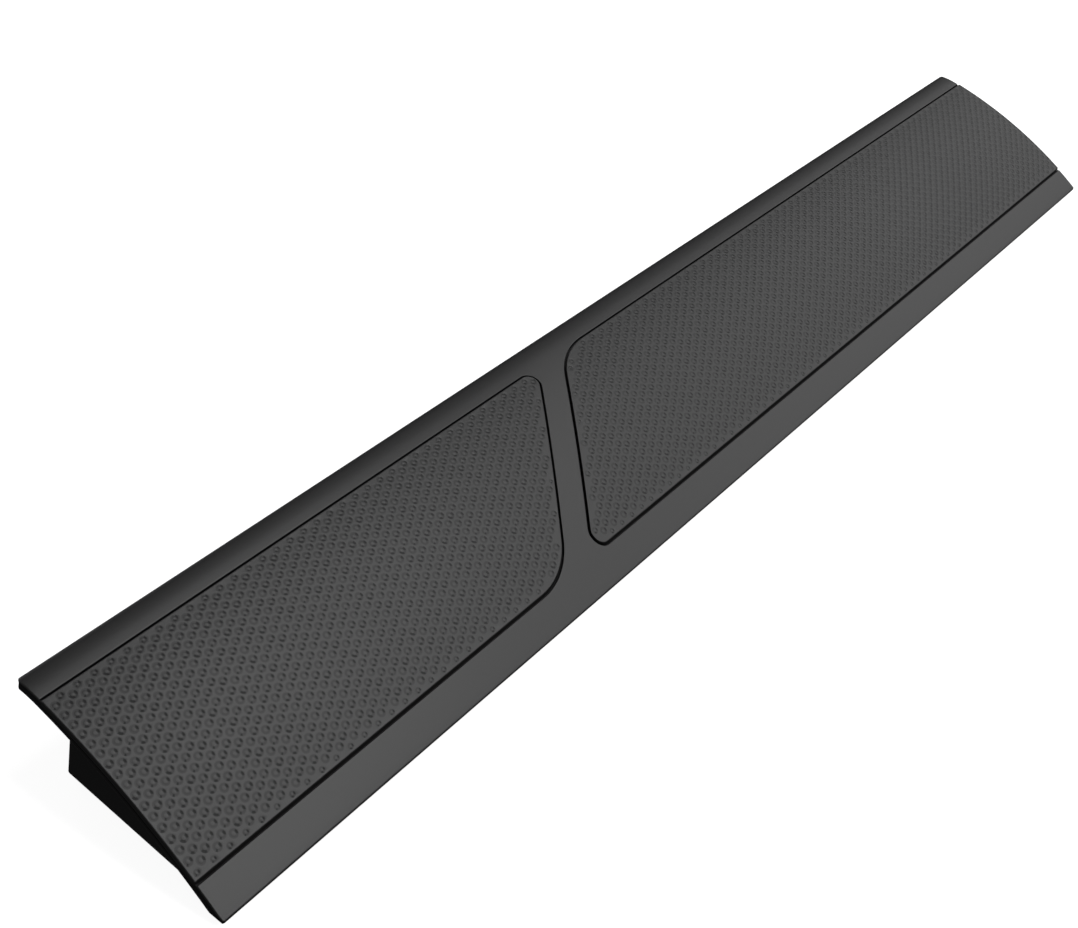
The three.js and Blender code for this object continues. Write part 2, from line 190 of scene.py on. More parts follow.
class Mesh:
    """Collects vertices and faces in millimetres.

    finish is the material number of the faces that are added next, and a vertex attribute says how rough the
    surface is there and how far a painted shade darkens its colour."""

    def __init__(self):
        self.points = []
        self.faces = []
        self.finish = 0
        self.finishes = {}
        self.shade_and_matt_weight = {}

    def add(self, points, shade_and_matt_weight=None):
        """Adds points and returns their numbers."""
        start = len(self.points)
        self.points.extend(points)
        if shade_and_matt_weight:
            self.shade_and_matt_weight.update(enumerate(shade_and_matt_weight, start))
        return list(range(start, len(self.points)))

    def face(self, *corners):
        if self.finish:
            self.finishes[len(self.faces)] = self.finish
        self.faces.append(corners)

    def strip(self, first, second, closed=False):
        """Quads between two rows of vertex numbers."""
        count = len(first)
        for i in range(count if closed else count - 1):
            j = (i + 1) % count
            self.face(first[i], first[j], second[j], second[i])

    def fan(self, centre, ring):
        for i, corner in enumerate(ring):
            self.face(centre, corner, ring[(i + 1) % len(ring)])

    def fill(self, loops, place, extra=(), pairs=(), keep=None, merge=1e-7):
        """Fills the area inside loops[0] and outside the others with triangles.

        extra are points inside the area and pairs are further edges; keep(x, y) may choose the area."""
        flat, edges = [], []
        for loop in loops:
            start = len(flat)
            flat.extend(loop)
            edges.extend((start + i, start + (i + 1) % len(loop)) for i in range(len(loop)))
        for pair in pairs:
            edges.append((len(flat), len(flat) + 1))
            flat.extend(pair)
        flat.extend(extra)
        out, _, tris, _, _, _ = delaunay_2d_cdt([Vector(p) for p in flat], edges, [], 0, merge)
        inside = keep or (lambda x, y: point_inside(loops[0], x, y)
                          and not any(point_inside(loop, x, y) for loop in loops[1:]))
        numbers = self.add([place(p[0], p[1]) for p in out])
        for tri in tris:
            centre_x = sum(out[i][0] for i in tri) / 3
            centre_y = sum(out[i][1] for i in tri) / 3
            if inside(centre_x, centre_y):
                self.face(*(numbers[i] for i in tri))

    def build(self, name, weld=0.002, sharp=40):
        """Makes the object, with points closer than weld joined and edges over sharp degrees kept crisp."""
        data = bpy.data.meshes.new(name)
        data.from_pydata([(x * MM, y * MM, z * MM) for x, y, z in self.points], [], self.faces)
        for number, finish in self.finishes.items():
            data.polygons[number].material_index = finish
        if self.shade_and_matt_weight:
            shade = data.attributes.new("shade_and_matt_weight", "FLOAT", "POINT")
            for number, value in self.shade_and_matt_weight.items():
                shade.data[number].value = value
        work = bmesh.new()
        work.from_mesh(data)
        bmesh.ops.remove_doubles(work, verts=work.verts, dist=weld * MM)
        bmesh.ops.dissolve_degenerate(work, edges=work.edges, dist=1e-7)
        bmesh.ops.delete(work, geom=[v for v in work.verts if not v.link_faces], context="VERTS")
        bmesh.ops.recalc_face_normals(work, faces=work.faces)
        finish_mesh(work, data, sharp)
        return add_object(name, data)


def finish_mesh(work, data, sharp):
    """Writes a bmesh back, shaded smooth except at its sharp edges."""
    for face in work.faces:
        face.smooth = True
    work.to_mesh(data)
    work.free()
    data.set_sharp_from_angle(angle=math.radians(sharp))


def add_object(name, data):
    thing = bpy.data.objects.new(name, data)
    bpy.context.scene.collection.objects.link(thing)
    return thing


# ---------- Pad outlines ----------

def corner_arc(corner, before, after, radius):
    """A rounded corner of an outline, as a list of points."""
    here = Vector(corner)
    a = (Vector(before) - here).normalized()
    b = (Vector(after) - here).normalized()
    half = a.angle(b) / 2
    centre = here + (a + b).normalized() * (radius / math.sin(half))
    start = here + a * (radius / math.tan(half)) - centre
    turn = math.pi - 2 * half
    sign = -1 if a.cross(b) > 0 else 1
    return [centre + Matrix.Rotation(sign * turn * k / CORNER_FACETS, 2) @ start
            for k in range(CORNER_FACETS + 1)]


def slant_x(side, y, grow=0.0):
    """X of a pad's slanted end at y, moved outward by grow."""
    middle_y = (GROOVE_REAR_Y + GROOVE_FRONT_Y) / 2
    return PAD_END_X[side] + BRIDGE_SLOPE * (y - middle_y) - side * grow * math.hypot(1, BRIDGE_SLOPE)


def straight_start(side, edge_y, radius):
    """How far along side's direction a pad's straight edge starts, clear of its rounded corner."""
    slant = math.atan2(1, BRIDGE_SLOPE)
    corner_half = (math.pi - slant) / 2 if radius == WIDE_RADIUS else slant / 2
    reach = radius / math.tan(corner_half) + CORNER_CLEARANCE
    return side * (slant_x(side, edge_y) + side * reach)


def pad_outline(side, grow):
    """Outline of a pad from its end along the front, round the slanted end and back along the rear.

    It starts and stops at the shell's end, so it is open there. Edges move outward by grow."""
    rear_y, front_y = GROOVE_REAR_Y + grow, GROOVE_FRONT_Y - grow
    front_radius, rear_radius = (WIDE_RADIUS, SHARP_RADIUS) if side < 0 else (SHARP_RADIUS, WIDE_RADIUS)
    front_corner = (slant_x(side, front_y, grow), front_y)
    rear_corner = (slant_x(side, rear_y, grow), rear_y)
    front_arc = corner_arc(front_corner, (side * HALF_LENGTH, front_y), rear_corner, front_radius + grow)
    rear_arc = corner_arc(rear_corner, front_corner, (side * HALF_LENGTH, rear_y), rear_radius + grow)
    front_start = straight_start(side, GROOVE_FRONT_Y, front_radius)
    rear_start = straight_start(side, GROOVE_REAR_Y, rear_radius)
    inward = sorted(COLUMNS, key=lambda x: -side * x)
    front = [(x, front_y) for x in inward if side * x > front_start]
    rear = [(x, rear_y) for x in reversed(inward) if side * x > rear_start]
    slant = [front_arc[-1].lerp(rear_arc[0], i / SLANT_STEPS) for i in range(1, SLANT_STEPS)]
    return front + [tuple(v) for v in front_arc + slant + rear_arc] + rear


# ---------- Top shell ----------

# The groove's rounded outer lip and its walls, as (outward growth of the pad outline, depth)
SKIN_GROW = GROOVE_WIDTH / 2 + GROOVE_LIP + SUPPORT
LEDGE_GROW = LEDGE_REACH - GROOVE_WIDTH / 2
LIP_STEPS = [(SKIN_GROW, 0.0)] + [
    (GROOVE_WIDTH / 2 + GROOVE_LIP * (1 - math.sin(a)), GROOVE_LIP * (1 - math.cos(a))) for a in QUARTER_TURN
]
WALL_STEPS = [(GROOVE_WIDTH / 2, LEDGE_DEPTH), (LEDGE_GROW, LEDGE_DEPTH), (LEDGE_GROW, RECESS_DEPTH)]
GROOVE_STEPS = LIP_STEPS + WALL_STEPS

RECESS_MARGIN = 3.0            # from the grooves to the first and last row of points on a recess floor
RECESS_ROWS = np.linspace(GROOVE_FRONT_Y + RECESS_MARGIN, GROOVE_REAR_Y - RECESS_MARGIN, 8)
SKIN_MARGIN = 0.9              # points inside the skin keep this far from the grooves
BRIDGE_SPAN = (-110, -20)      # X between which the bridge has a finer grid
BRIDGE_PITCH = 2.0


def shell_path():
    """The section's outline from the crest's end round the rear, the underside and the nose: (y, z, ny, nz)."""
    path = []

    def add_arc(cy, cz, radius, start, end, facets, outward=1, skip_first=True):
        for i in range(1 if skip_first else 0, facets + 1):
            a = start + (end - start) * i / facets
            path.append((cy + radius * math.sin(a), cz + radius * math.cos(a),
                         outward * math.sin(a), outward * math.cos(a)))

    add_arc(REAR_ROUND_Y, REAR_ROUND_Z, REAR_ROUND,
            CREST_END, CREST_END + math.pi, REAR_FACETS, skip_first=False)
    add_arc(CREST_Y, CREST_Z, CREST_RADIUS - THICKNESS, CREST_END, CREST_START, CREST_FACETS, outward=-1)
    inner_crown = CROWN_RADIUS - THICKNESS
    low = -math.acos((LIFT - CROWN_Z) / inner_crown)
    add_arc(CROWN_Y, CROWN_Z, inner_crown, CREST_START, low, CROWN_FACETS, outward=-1)
    path.append((path[-1][0] - LIP_START, LIFT, 0, -1))
    add_arc(FRONT_Y + LIP_CORNER_RADIUS, LIFT + LIP_CORNER_RADIUS, LIP_CORNER_RADIUS,
            math.pi, math.pi * 1.5, LIP_FACETS, skip_first=False)
    nose_y = FRONT_Y + NOSE_RADIUS
    nose_z = CROWN_Z + math.sqrt((CROWN_RADIUS - NOSE_RADIUS) ** 2 - (nose_y - CROWN_Y) ** 2)
    tangent = math.atan2(nose_y - CROWN_Y, nose_z - CROWN_Z)
    add_arc(nose_y, nose_z, NOSE_RADIUS, -math.pi / 2, tangent, NOSE_FACETS, skip_first=False)
    return path


def groove_depth(x, depth):
    """The groove's floor rises to its shallow end depth close to the shell's ends."""
    if depth == LEDGE_DEPTH:
        near = max(1 - (HALF_LENGTH - abs(x)) / GROOVE_RUN_OUT, 0.0)
        return LEDGE_DEPTH + (LEDGE_END_DEPTH - LEDGE_DEPTH) * near
    return depth


def sweep_section(mesh, path):
    """The shell's rear edge, underside and nose, all but the upper skin."""
    rows = []
    for y, z, ny, nz in path:
        row = []
        for x in COLUMNS:
            inset = end_inset(x)
            row.append((x + corner_shift(x, y), y - inset * ny, z - inset * nz))
        rows.append(mesh.add(row))
    for first, second in zip(rows, rows[1:]):
        mesh.strip(first, second)


def sink_recess(mesh, side):
    """The groove's lip and walls, and the recess floor under the pad; walls and floor have finish 1, whose
    darker colour is a painted shade.
    """
    rings = []
    for grow, depth in GROOVE_STEPS:
        outline = pad_outline(side, grow)
        rings.append(mesh.add([on_surface(x, y, groove_depth(x, depth)) for x, y in outline]))
    for i, (first, second) in enumerate(zip(rings, rings[1:])):
        # the walls take the darker finish, a painted shade in the groove
        mesh.finish = 1 if i >= len(LIP_STEPS) - 1 else 0
        mesh.strip(first, second)
    floor_outline = pad_outline(side, LEDGE_GROW)
    clear = pad_outline(side, -2.0)
    extra = [(x, y) for x in COLUMNS[::2] for y in RECESS_ROWS
             if abs(x) < HALF_LENGTH - 1 and point_inside(floor_outline, x, y) and point_inside(clear, x, y)]
    mesh.finish = 1
    floor_end = [(side * HALF_LENGTH, y) for y in RECESS_ROWS[::-1]]
    mesh.fill([floor_outline + floor_end], lambda x, y: on_surface(x, y, RECESS_DEPTH), extra)
    mesh.finish = 0


def cover_skin(mesh, nose_top_y, crest_end_y, front_rows, rear_rows):
    """The upper skin round the recesses and on the bridge between them."""
    loop = (
        [(x, nose_top_y) for x in COLUMNS]
        + [(HALF_LENGTH, y) for y in front_rows]
        + pad_outline(1, SKIN_GROW)
        + [(HALF_LENGTH, y) for y in rear_rows]
        + [(x, crest_end_y) for x in reversed(COLUMNS)]
        + [(-HALF_LENGTH, y) for y in rear_rows[::-1]]
        + pad_outline(-1, SKIN_GROW)[::-1]
        + [(-HALF_LENGTH, y) for y in front_rows[::-1]]
    )
    clear_left, clear_right = pad_outline(-1, SKIN_GROW + SKIN_MARGIN), pad_outline(1, SKIN_GROW + SKIN_MARGIN)
    inner_columns = [x for x in COLUMNS if abs(x) < HALF_LENGTH]
    bridge_rows = np.arange(GROOVE_FRONT_Y - SKIN_GROW, GROOVE_REAR_Y + SKIN_GROW, BRIDGE_PITCH)
    extra = [(x, y) for x in inner_columns for y in [*front_rows, *rear_rows]]
    extra += [(x, y) for x in np.arange(*BRIDGE_SPAN, BRIDGE_PITCH) for y in bridge_rows]
    extra = [(x, y) for x, y in extra
             if not point_inside(clear_left, x, y) and not point_inside(clear_right, x, y)]
    extra += [(x, y) for x in inner_columns if abs(x) > HALF_LENGTH - CORNER_REACH
              for y in [front_rows[-1], rear_rows[0]]]
    mesh.fill([loop], lambda x, y: on_surface(x, y, 0.0), extra)


def close_end(mesh, side, path, front_rows, rear_rows):
    """The shell's end face, in finish 1, whose darker colour is a painted shade, cut by the grooves and the
    recess.
    """
    end_x = side * HALF_LENGTH
    inset = end_inset(end_x)
    section = [(y - inset * ny, z - inset * nz) for y, z, ny, nz in path]
    shifts = {(round(y, 4), round(z, 4)): corner_shift(end_x, p[0]) for (y, z), p in zip(section, path)}
    steps = [(grow, groove_depth(end_x, depth)) for grow, depth in GROOVE_STEPS]
    skin = (
        [(y, 0.0) for y in front_rows]
        + [(GROOVE_FRONT_Y - grow, depth) for grow, depth in steps]
        + [(y, RECESS_DEPTH) for y in RECESS_ROWS]
        + [(GROOVE_REAR_Y + grow, depth) for grow, depth in reversed(steps)]
        + [(y, 0.0) for y in rear_rows]
    )
    section += [on_surface(end_x, y, depth)[1:] for y, depth in skin]
    # the end face takes the darker finish, a painted shade
    mesh.finish = 1
    mesh.fill([section], lambda y, z: (end_x + shifts.get((round(y, 4), round(z, 4)), 0.0), y, z))
    mesh.finish = 0


def screw_post(mesh, cx, cy, outer=3.4, bore=1.35, low=5.9, bore_top=10.4, root_sink=0.6, segments=28):
    """A post with a blind bore, its root sunk into the shell's underside."""
    foot_edge, bore_edge = 0.3, 0.25
    root = RECESS_DEPTH + root_sink

    def ring(radius, z_of):
        turns = (2 * math.pi * k / segments for k in range(segments))
        return mesh.add([(cx + radius * math.cos(t), cy + radius * math.sin(t), z_of(cy + radius * math.sin(t)))
                         for t in turns])

    top = ring(outer, lambda y: surface_z(y, root))
    rings = [
        top,
        ring(outer, lambda y: low + foot_edge),
        ring(outer - foot_edge, lambda y: low),
        ring(bore + bore_edge, lambda y: low),
        ring(bore, lambda y: low + bore_edge),
        ring(bore, lambda y: bore_top),
    ]
    for first, second in zip(rings, rings[1:]):
        mesh.strip(first, second, closed=True)
    mesh.fan(mesh.add([(cx, cy, bore_top)])[0], rings[-1][::-1])
    mesh.fan(mesh.add([(cx, cy, surface_z(cy, root))])[0], top)


def build_shell():
    mesh = Mesh()
    path = shell_path()
    nose_top_y, crest_end_y = path[-1][0], path[0][0]
    front_rows = np.linspace(nose_top_y, GROOVE_FRONT_Y - SKIN_GROW, 7)[1:-1]
    rear_rows = np.linspace(GROOVE_REAR_Y + SKIN_GROW, crest_end_y, 8)[1:-1]
    sweep_section(mesh, path)
    for side in (-1, 1):
        sink_recess(mesh, side)
    cover_skin(mesh, nose_top_y, crest_end_y, front_rows, rear_rows)
    for side in (-1, 1):
        close_end(mesh, side, path, front_rows, rear_rows)
    for node in [n for n in nodes if n.startswith("base_screw")]:
        low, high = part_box(node)
        screw_post(mesh, (low.x + high.x) / 2 / MM, (low.y + high.y) / 2 / MM)
    return mesh.build("top_shell_skin", sharp=50)


# ---------- Grip pads ----------

# The pad's rounded upper edge and its side, as (outward growth of the outline, depth)
PAD_TOP_GROW = -GROOVE_WIDTH / 2 - PAD_EDGE - SUPPORT
PAD_STEPS = [(PAD_TOP_GROW, -PAD_PROUD)] + [
    (-GROOVE_WIDTH / 2 - PAD_EDGE * (1 - math.sin(a)), -PAD_PROUD + PAD_EDGE * (1 - math.cos(a)))
    for a in QUARTER_TURN
] + [(-GROOVE_WIDTH / 2, PAD_UNDERSIDE)]
END_MARGIN, UNDER_MARGIN = 1.2, 4.0    # from the grooves to the first and last row of points
END_ROWS = np.linspace(GROOVE_FRONT_Y + END_MARGIN, GROOVE_REAR_Y - END_MARGIN, 22)
UNDER_ROWS = np.linspace(GROOVE_FRONT_Y + UNDER_MARGIN, GROOVE_REAR_Y - UNDER_MARGIN, 8)

# The grip texture: rows of small domes, each in a ring that is deepest in two crescents
TEXTURE_STEP_X = 2.265
TEXTURE_STEP_S = 1.397         # along the curve of the pad
TEXTURE_ROWS = 34
FIRST_CELL = 1.55              # from the rest's left end to the first cell's middle
DOME_HEIGHT = 0.06
RING_DEPTH = 0.12
DOME_RADIUS, RING_MIDDLE, RING_OUTER = 0.48, 0.8, 1.1
DOME_EDGE_SHARE = 0.1          # depth at the dome's foot, as a share of the ring's
DEPTH_WOBBLE = 0.12            # how much the depth differs from cell to cell
SEGMENTS = 12
LEAST_ROOM = 0.7               # a cell closer to the outline than this is left out
FULL_ROOM = 1.8                # a cell closer than this is shrunk to fit
EDGE_GAP = 0.06                # between a shrunk cell and the outline
CELL_REACH = 1.75              # farther than any corner of a full cell's hexagon
MATT_SHADE_FROM = 0.62               # the crescents have the matt finish, whose darker colour is a painted shade, where the ring's weight is above this
CRESCENT_X, CRESCENT_X_WIDTH = 0.0, 1.2      # direction and half width of a crescent, in radians
CRESCENT_LOW, CRESCENT_LOW_WIDTH = 4.0, 1.1
ROW_KINDS = (
    # weight of the even ring, of the crescent towards +X, of the crescent towards the near lower side
    (0.26, 0.70, 0.55),
    (0.22, 0.75, 0.40),
    (0.30, 0.55, 0.62),
)
ANGLES = [2 * math.pi * k / SEGMENTS for k in range(SEGMENTS)]


def crown_angle(y):
    return math.asin((y - CROWN_Y) / CROWN_RADIUS)


def arc_length(y):
    """Distance along the crown from its point under the front groove."""
    return CROWN_RADIUS * (crown_angle(y) - crown_angle(GROOVE_FRONT_Y))


def y_at_arc(s):
    return CROWN_Y + CROWN_RADIUS * math.sin(crown_angle(GROOVE_FRONT_Y) + s / CROWN_RADIUS)


def on_pad(x, y, depth=-PAD_PROUD):
    """A point of a pad, by default on its upper face."""
    return on_surface(x, y, depth, top=-PAD_PROUD, bottom=PAD_UNDERSIDE)


def hexagon_corners():
    """Offsets, in X and along the curve, from a cell's middle to its edge half-way to its neighbours."""
    neighbours = [(0, 2 * TEXTURE_STEP_S), (0, -2 * TEXTURE_STEP_S)]
    neighbours += [(dx * TEXTURE_STEP_X, ds * TEXTURE_STEP_S) for dx in (1, -1) for ds in (1, -1)]
    corners = []
    for angle in ANGLES:
        towards = [(dx * math.cos(angle) + ds * math.sin(angle), dx * dx + ds * ds) for dx, ds in neighbours]
        reach = min(square / 2 / along for along, square in towards if along > 1e-6)
        corners.append((reach * math.cos(angle), reach * math.sin(angle)))
    return corners


HEXAGON = hexagon_corners()


def crescent(angle, middle, width):
    """1 in the direction middle, fading to 0 at width either side."""
    off = abs((angle - middle + math.pi) % (2 * math.pi) - math.pi)
    return math.cos(min(off / width, 1.0) * math.pi / 2) ** 2


def cell_share(room):
    """Size of a cell with that much room, as a share of a full one."""
    return 1.0 if room > FULL_ROOM else min(1.0, (room - EDGE_GAP) / RING_OUTER)


def texture_cells(outline):
    """The cells that fit inside a pad's upper face: (column, row) to (x, s, room)."""
    start_s = (arc_length(GROOVE_REAR_Y) - (TEXTURE_ROWS - 1) * TEXTURE_STEP_S) / 2
    cells = {}
    for i in range(int(2 * HALF_LENGTH / TEXTURE_STEP_X) + 1):
        for j in range(i % 2, TEXTURE_ROWS, 2):
            x = FIRST_CELL - HALF_LENGTH + i * TEXTURE_STEP_X
            s = start_s + j * TEXTURE_STEP_S
            room = clearance(outline, x, y_at_arc(s))
            if room >= LEAST_ROOM:
                cells[i, j] = (x, s, room)
    return cells


def add_cell(mesh, i, j, x, s, share):
    """A dome in its ring; returns the ring's outer points in plan and their numbers."""
    even, toward_x, lower = ROW_KINDS[j % 3]
    wobble = 1 + DEPTH_WOBBLE * math.sin(i * 1.7 + j * 2.3)
    digs = [wobble * (even + toward_x * crescent(angle, CRESCENT_X, CRESCENT_X_WIDTH)
                      + lower * crescent(angle, CRESCENT_LOW, CRESCENT_LOW_WIDTH)) for angle in ANGLES]
    numbers = []
    for radius, depth_share in ((DOME_RADIUS, DOME_EDGE_SHARE), (RING_MIDDLE, 1.0), (RING_OUTER, 0.0)):
        loop = [(x + radius * share * math.cos(angle), y_at_arc(s + radius * share * math.sin(angle)))
                for angle in ANGLES]
        points = [on_pad(px, py, RING_DEPTH * dig * depth_share - PAD_PROUD)
                  for (px, py), dig in zip(loop, digs)]
        # each point keeps its trough weight, which makes the pad rougher and its colour darker there, a painted
        # shade
        numbers.append(mesh.add(points, [min(dig * depth_share, 1.0) for dig in digs]))
    centre = mesh.add([on_pad(x, y_at_arc(s), -PAD_PROUD - DOME_HEIGHT)])[0]
    mesh.fan(centre, numbers[0])
    for k in range(SEGMENTS):
        following = (k + 1) % SEGMENTS
        weight = (digs[k] + digs[following]) / 2
        # the trough's faces take the darker ring or crescent finish, a painted shade
        mesh.finish = 2 if weight > MATT_SHADE_FROM else 1
        for inner, outer in zip(numbers, numbers[1:]):
            mesh.face(inner[k], inner[following], outer[following], outer[k])
    mesh.finish = 0
    return loop, numbers[-1]


def add_texture(mesh, outline):
    """Covers a pad's upper face with cells, and fills what they leave."""
    cells = texture_cells(outline)
    holes = []
    boundary = {}
    for (i, j), (x, s, room) in cells.items():
        loop, numbers = add_cell(mesh, i, j, x, s, cell_share(room))
        if room <= FULL_ROOM:
            holes.append(loop)
            continue
        ring = [(x + dx, y_at_arc(s + ds)) for dx, ds in HEXAGON]
        mesh.strip(numbers, mesh.add([on_pad(px, py) for px, py in ring]), closed=True)
        for a, b in zip(ring, ring[1:] + ring[:1]):
            # an edge that two full cells share is inside the texture and bounds nothing
            key = frozenset(((round(a[0], 3), round(a[1], 3)), (round(b[0], 3), round(b[1], 3))))
            boundary[key] = None if key in boundary else (a, b)

    full_cells = np.array([(x, s) for x, s, room in cells.values() if room > FULL_ROOM])
    free_cells = np.array([(x, s, cell_share(room) * RING_OUTER) for x, s, room in cells.values()
                           if room <= FULL_ROOM])

    def uncovered(x, y):
        s = arc_length(y)
        if (np.hypot(free_cells[:, 0] - x, free_cells[:, 1] - s) < free_cells[:, 2] * 0.985).any():
            return False
        close = full_cells[np.hypot(full_cells[:, 0] - x, full_cells[:, 1] - s) < CELL_REACH]
        if any(point_inside([(cx + dx, cs + ds) for dx, ds in HEXAGON], x, s) for cx, cs in close):
            return False
        return point_inside(outline, x, y)

    mesh.fill([outline, *holes], on_pad, pairs=[pair for pair in boundary.values() if pair],
              keep=uncovered, merge=1e-4)


def close_pad(mesh, side):
    """A pad's side, underside and end face."""
    end_x = side * HALF_LENGTH
    rings = [mesh.add([on_pad(x, y, depth) for x, y in pad_outline(side, grow)]) for grow, depth in PAD_STEPS]
    for first, second in zip(rings, rings[1:]):
        mesh.strip(first, second)

    under = pad_outline(side, -GROOVE_WIDTH / 2) + [(end_x, y) for y in END_ROWS[::-1]]
    clear = pad_outline(side, -3.0)
    extra = [(x, y) for x in COLUMNS[::2] for y in UNDER_ROWS
             if abs(x) < HALF_LENGTH - 2 and point_inside(clear, x, y)]
    mesh.fill([under], lambda x, y: on_pad(x, y, PAD_UNDERSIDE), extra)

    section = (
        [(GROOVE_FRONT_Y - grow, depth) for grow, depth in reversed(PAD_STEPS)]
        + [(y, -PAD_PROUD) for y in END_ROWS]
        + [(GROOVE_REAR_Y + grow, depth) for grow, depth in PAD_STEPS]
        + [(y, PAD_UNDERSIDE) for y in END_ROWS[::-1]]
    )
    # the end face takes the darker crescent finish, a painted shade
    mesh.finish = 2
    mesh.fill([[on_pad(end_x, y, depth)[1:] for y, depth in section]], lambda y, z: (end_x, y, z))
    mesh.finish = 0


def build_pad(side, name):
    mesh = Mesh()
    close_pad(mesh, side)

    # The plain strip at the rest's end, which is rounded down to the end face
    strip_ys = [GROOVE_FRONT_Y - PAD_TOP_GROW, *END_ROWS, GROOVE_REAR_Y + PAD_TOP_GROW]
    strips = [mesh.add([on_pad(side * x, y) for y in strip_ys]) for x in (FLAT_END, *end_columns())]
    for first, second in zip(strips, strips[1:]):
        mesh.strip(first, second)

    outline = [p for p in pad_outline(side, PAD_TOP_GROW) if abs(p[0]) <= FLAT_END + 1e-6]
    outline += [(side * FLAT_END, y) for y in END_ROWS[::-1]]
    add_texture(mesh, outline)
    return mesh.build(name, weld=0.004, sharp=60)


# ---------- Materials ----------

def new_material(name):
    material = bpy.data.materials.new(name)
    material.use_nodes = True
    tree = material.node_tree
    return material, tree, tree.nodes["Principled BSDF"]


def noise(tree, where, scale, detail):
    node = tree.nodes.new("ShaderNodeTexNoise")
    node.inputs["Scale"].default_value = scale
    node.inputs["Detail"].default_value = detail
    tree.links.new(where.outputs["Object"], node.inputs["Vector"])
    return node


def colour_ramp(tree, value, low, low_colour, high, high_colour):
    node = tree.nodes.new("ShaderNodeValToRGB")
    for stop, position, colour in zip(node.color_ramp.elements, (low, high), (low_colour, high_colour)):
        stop.position = position
        stop.color = (*colour, 1)
    tree.links.new(value, node.inputs["Fac"])
    return node


def gloss_range(tree, value, low, high):
    node = tree.nodes.new("ShaderNodeMapRange")
    node.inputs["To Min"].default_value = low
    node.inputs["To Max"].default_value = high
    tree.links.new(value, node.inputs["Value"])
    return node


def add_bump(tree, shader, height, strength, distance):
    node = tree.nodes.new("ShaderNodeBump")
    node.inputs["Strength"].default_value = strength
    node.inputs["Distance"].default_value = distance * MM
    tree.links.new(height, node.inputs["Height"])
    tree.links.new(node.outputs["Normal"], shader.inputs["Normal"])


def near_black(value, blue=0.0005):
    """A neutral dark tone with a trace more blue."""
    return (value, value, value + blue)


def moulded_plastic(name, dark, light, roughness, specular, grain_size, grain_depth, spread=0.06, matt=None):
    """Injection-moulded plastic: fine eroded grain, slow tone drift, slightly uneven gloss.

    matt is the roughness and the share of the tone where the mesh's trough weight is 1; that darker tone is a
    painted shade."""
    material, tree, shader = new_material(name)
    make, link = tree.nodes.new, tree.links.new
    where = make("ShaderNodeTexCoord")
    drift = noise(tree, where, 35.0, 4.0)
    fine = noise(tree, where, 1 / (grain_size * MM), 3.0)
    fine.inputs["Roughness"].default_value = 0.6

    tone = make("ShaderNodeMix")
    tone.data_type = "FLOAT"
    tone.inputs["Factor"].default_value = 0.45
    link(drift.outputs["Fac"], tone.inputs["A"])
    link(fine.outputs["Fac"], tone.inputs["B"])
    ramp = colour_ramp(tree, tone.outputs["Result"], 0.3, dark, 0.7, light)
    gloss = gloss_range(tree, tone.outputs["Result"], roughness - spread, roughness + spread)
    colour, gloss_value = ramp.outputs["Color"], gloss.outputs["Result"]
    if matt:
        matt_roughness, shade_tone_share = matt
        # where the trough weight is high the roughness rises and the colour is darkened, a painted shade
        shade_and_matt_weight = make("ShaderNodeAttribute")
        shade_and_matt_weight.attribute_name = "shade_and_matt_weight"
        blend = make("ShaderNodeMix")
        blend.data_type = "FLOAT"
        link(shade_and_matt_weight.outputs["Fac"], blend.inputs["Factor"])
        link(gloss_value, blend.inputs["A"])
        blend.inputs["B"].default_value = matt_roughness
        gloss_value = blend.outputs["Result"]
        shadow = make("ShaderNodeMix")
        shadow.data_type = "RGBA"
        link(shade_and_matt_weight.outputs["Fac"], shadow.inputs["Factor"])
        link(colour, shadow.inputs["A"])
        shadow.inputs["B"].default_value = (*(shade_tone_share * v for v in dark), 1)
        colour = shadow.outputs["Result"]
    link(colour, shader.inputs["Base Color"])
    link(gloss_value, shader.inputs["Roughness"])
    shader.inputs["Specular IOR Level"].default_value = specular
    add_bump(tree, shader, fine.outputs["Fac"], 0.6, grain_depth)
    return material


def zinc_steel(name):
    """Zinc-plated steel with a faint mottle."""
    material, tree, shader = new_material(name)
    where = tree.nodes.new("ShaderNodeTexCoord")
    mottle = noise(tree, where, 900.0, 5.0).outputs["Fac"]
    ramp = colour_ramp(tree, mottle, 0.35, (0.33, 0.34, 0.36), 0.7, (0.52, 0.53, 0.55))
    tree.links.new(ramp.outputs["Color"], shader.inputs["Base Color"])
    gloss = gloss_range(tree, mottle, 0.25, 0.42)
    tree.links.new(gloss.outputs["Result"], shader.inputs["Roughness"])
    add_bump(tree, shader, mottle, 0.3, 0.02)
    shader.inputs["Metallic"].default_value = 1.0
    return material


shell_plastic = moulded_plastic(
    "shell_plastic", near_black(0.023), near_black(0.027), roughness=0.38, specular=1.0,
    grain_size=0.22, grain_depth=0.002, spread=0.02)
# the groove walls, the recess floors and the shell's ends are darker than the shell: a painted shade
painted_shade_plastic = moulded_plastic(
    "painted_shade_plastic", near_black(0.011), near_black(0.015), roughness=0.6, specular=0.3,
    grain_size=0.22, grain_depth=0.01)
# the pad's troughs are darkened to 0.6 of its dark tone, a painted shade
pad_plastic = moulded_plastic(
    "pad_texture", near_black(0.023), near_black(0.027), roughness=0.41, specular=1.0,
    grain_size=0.2, grain_depth=0.002, spread=0.02, matt=(0.55, 0.6))
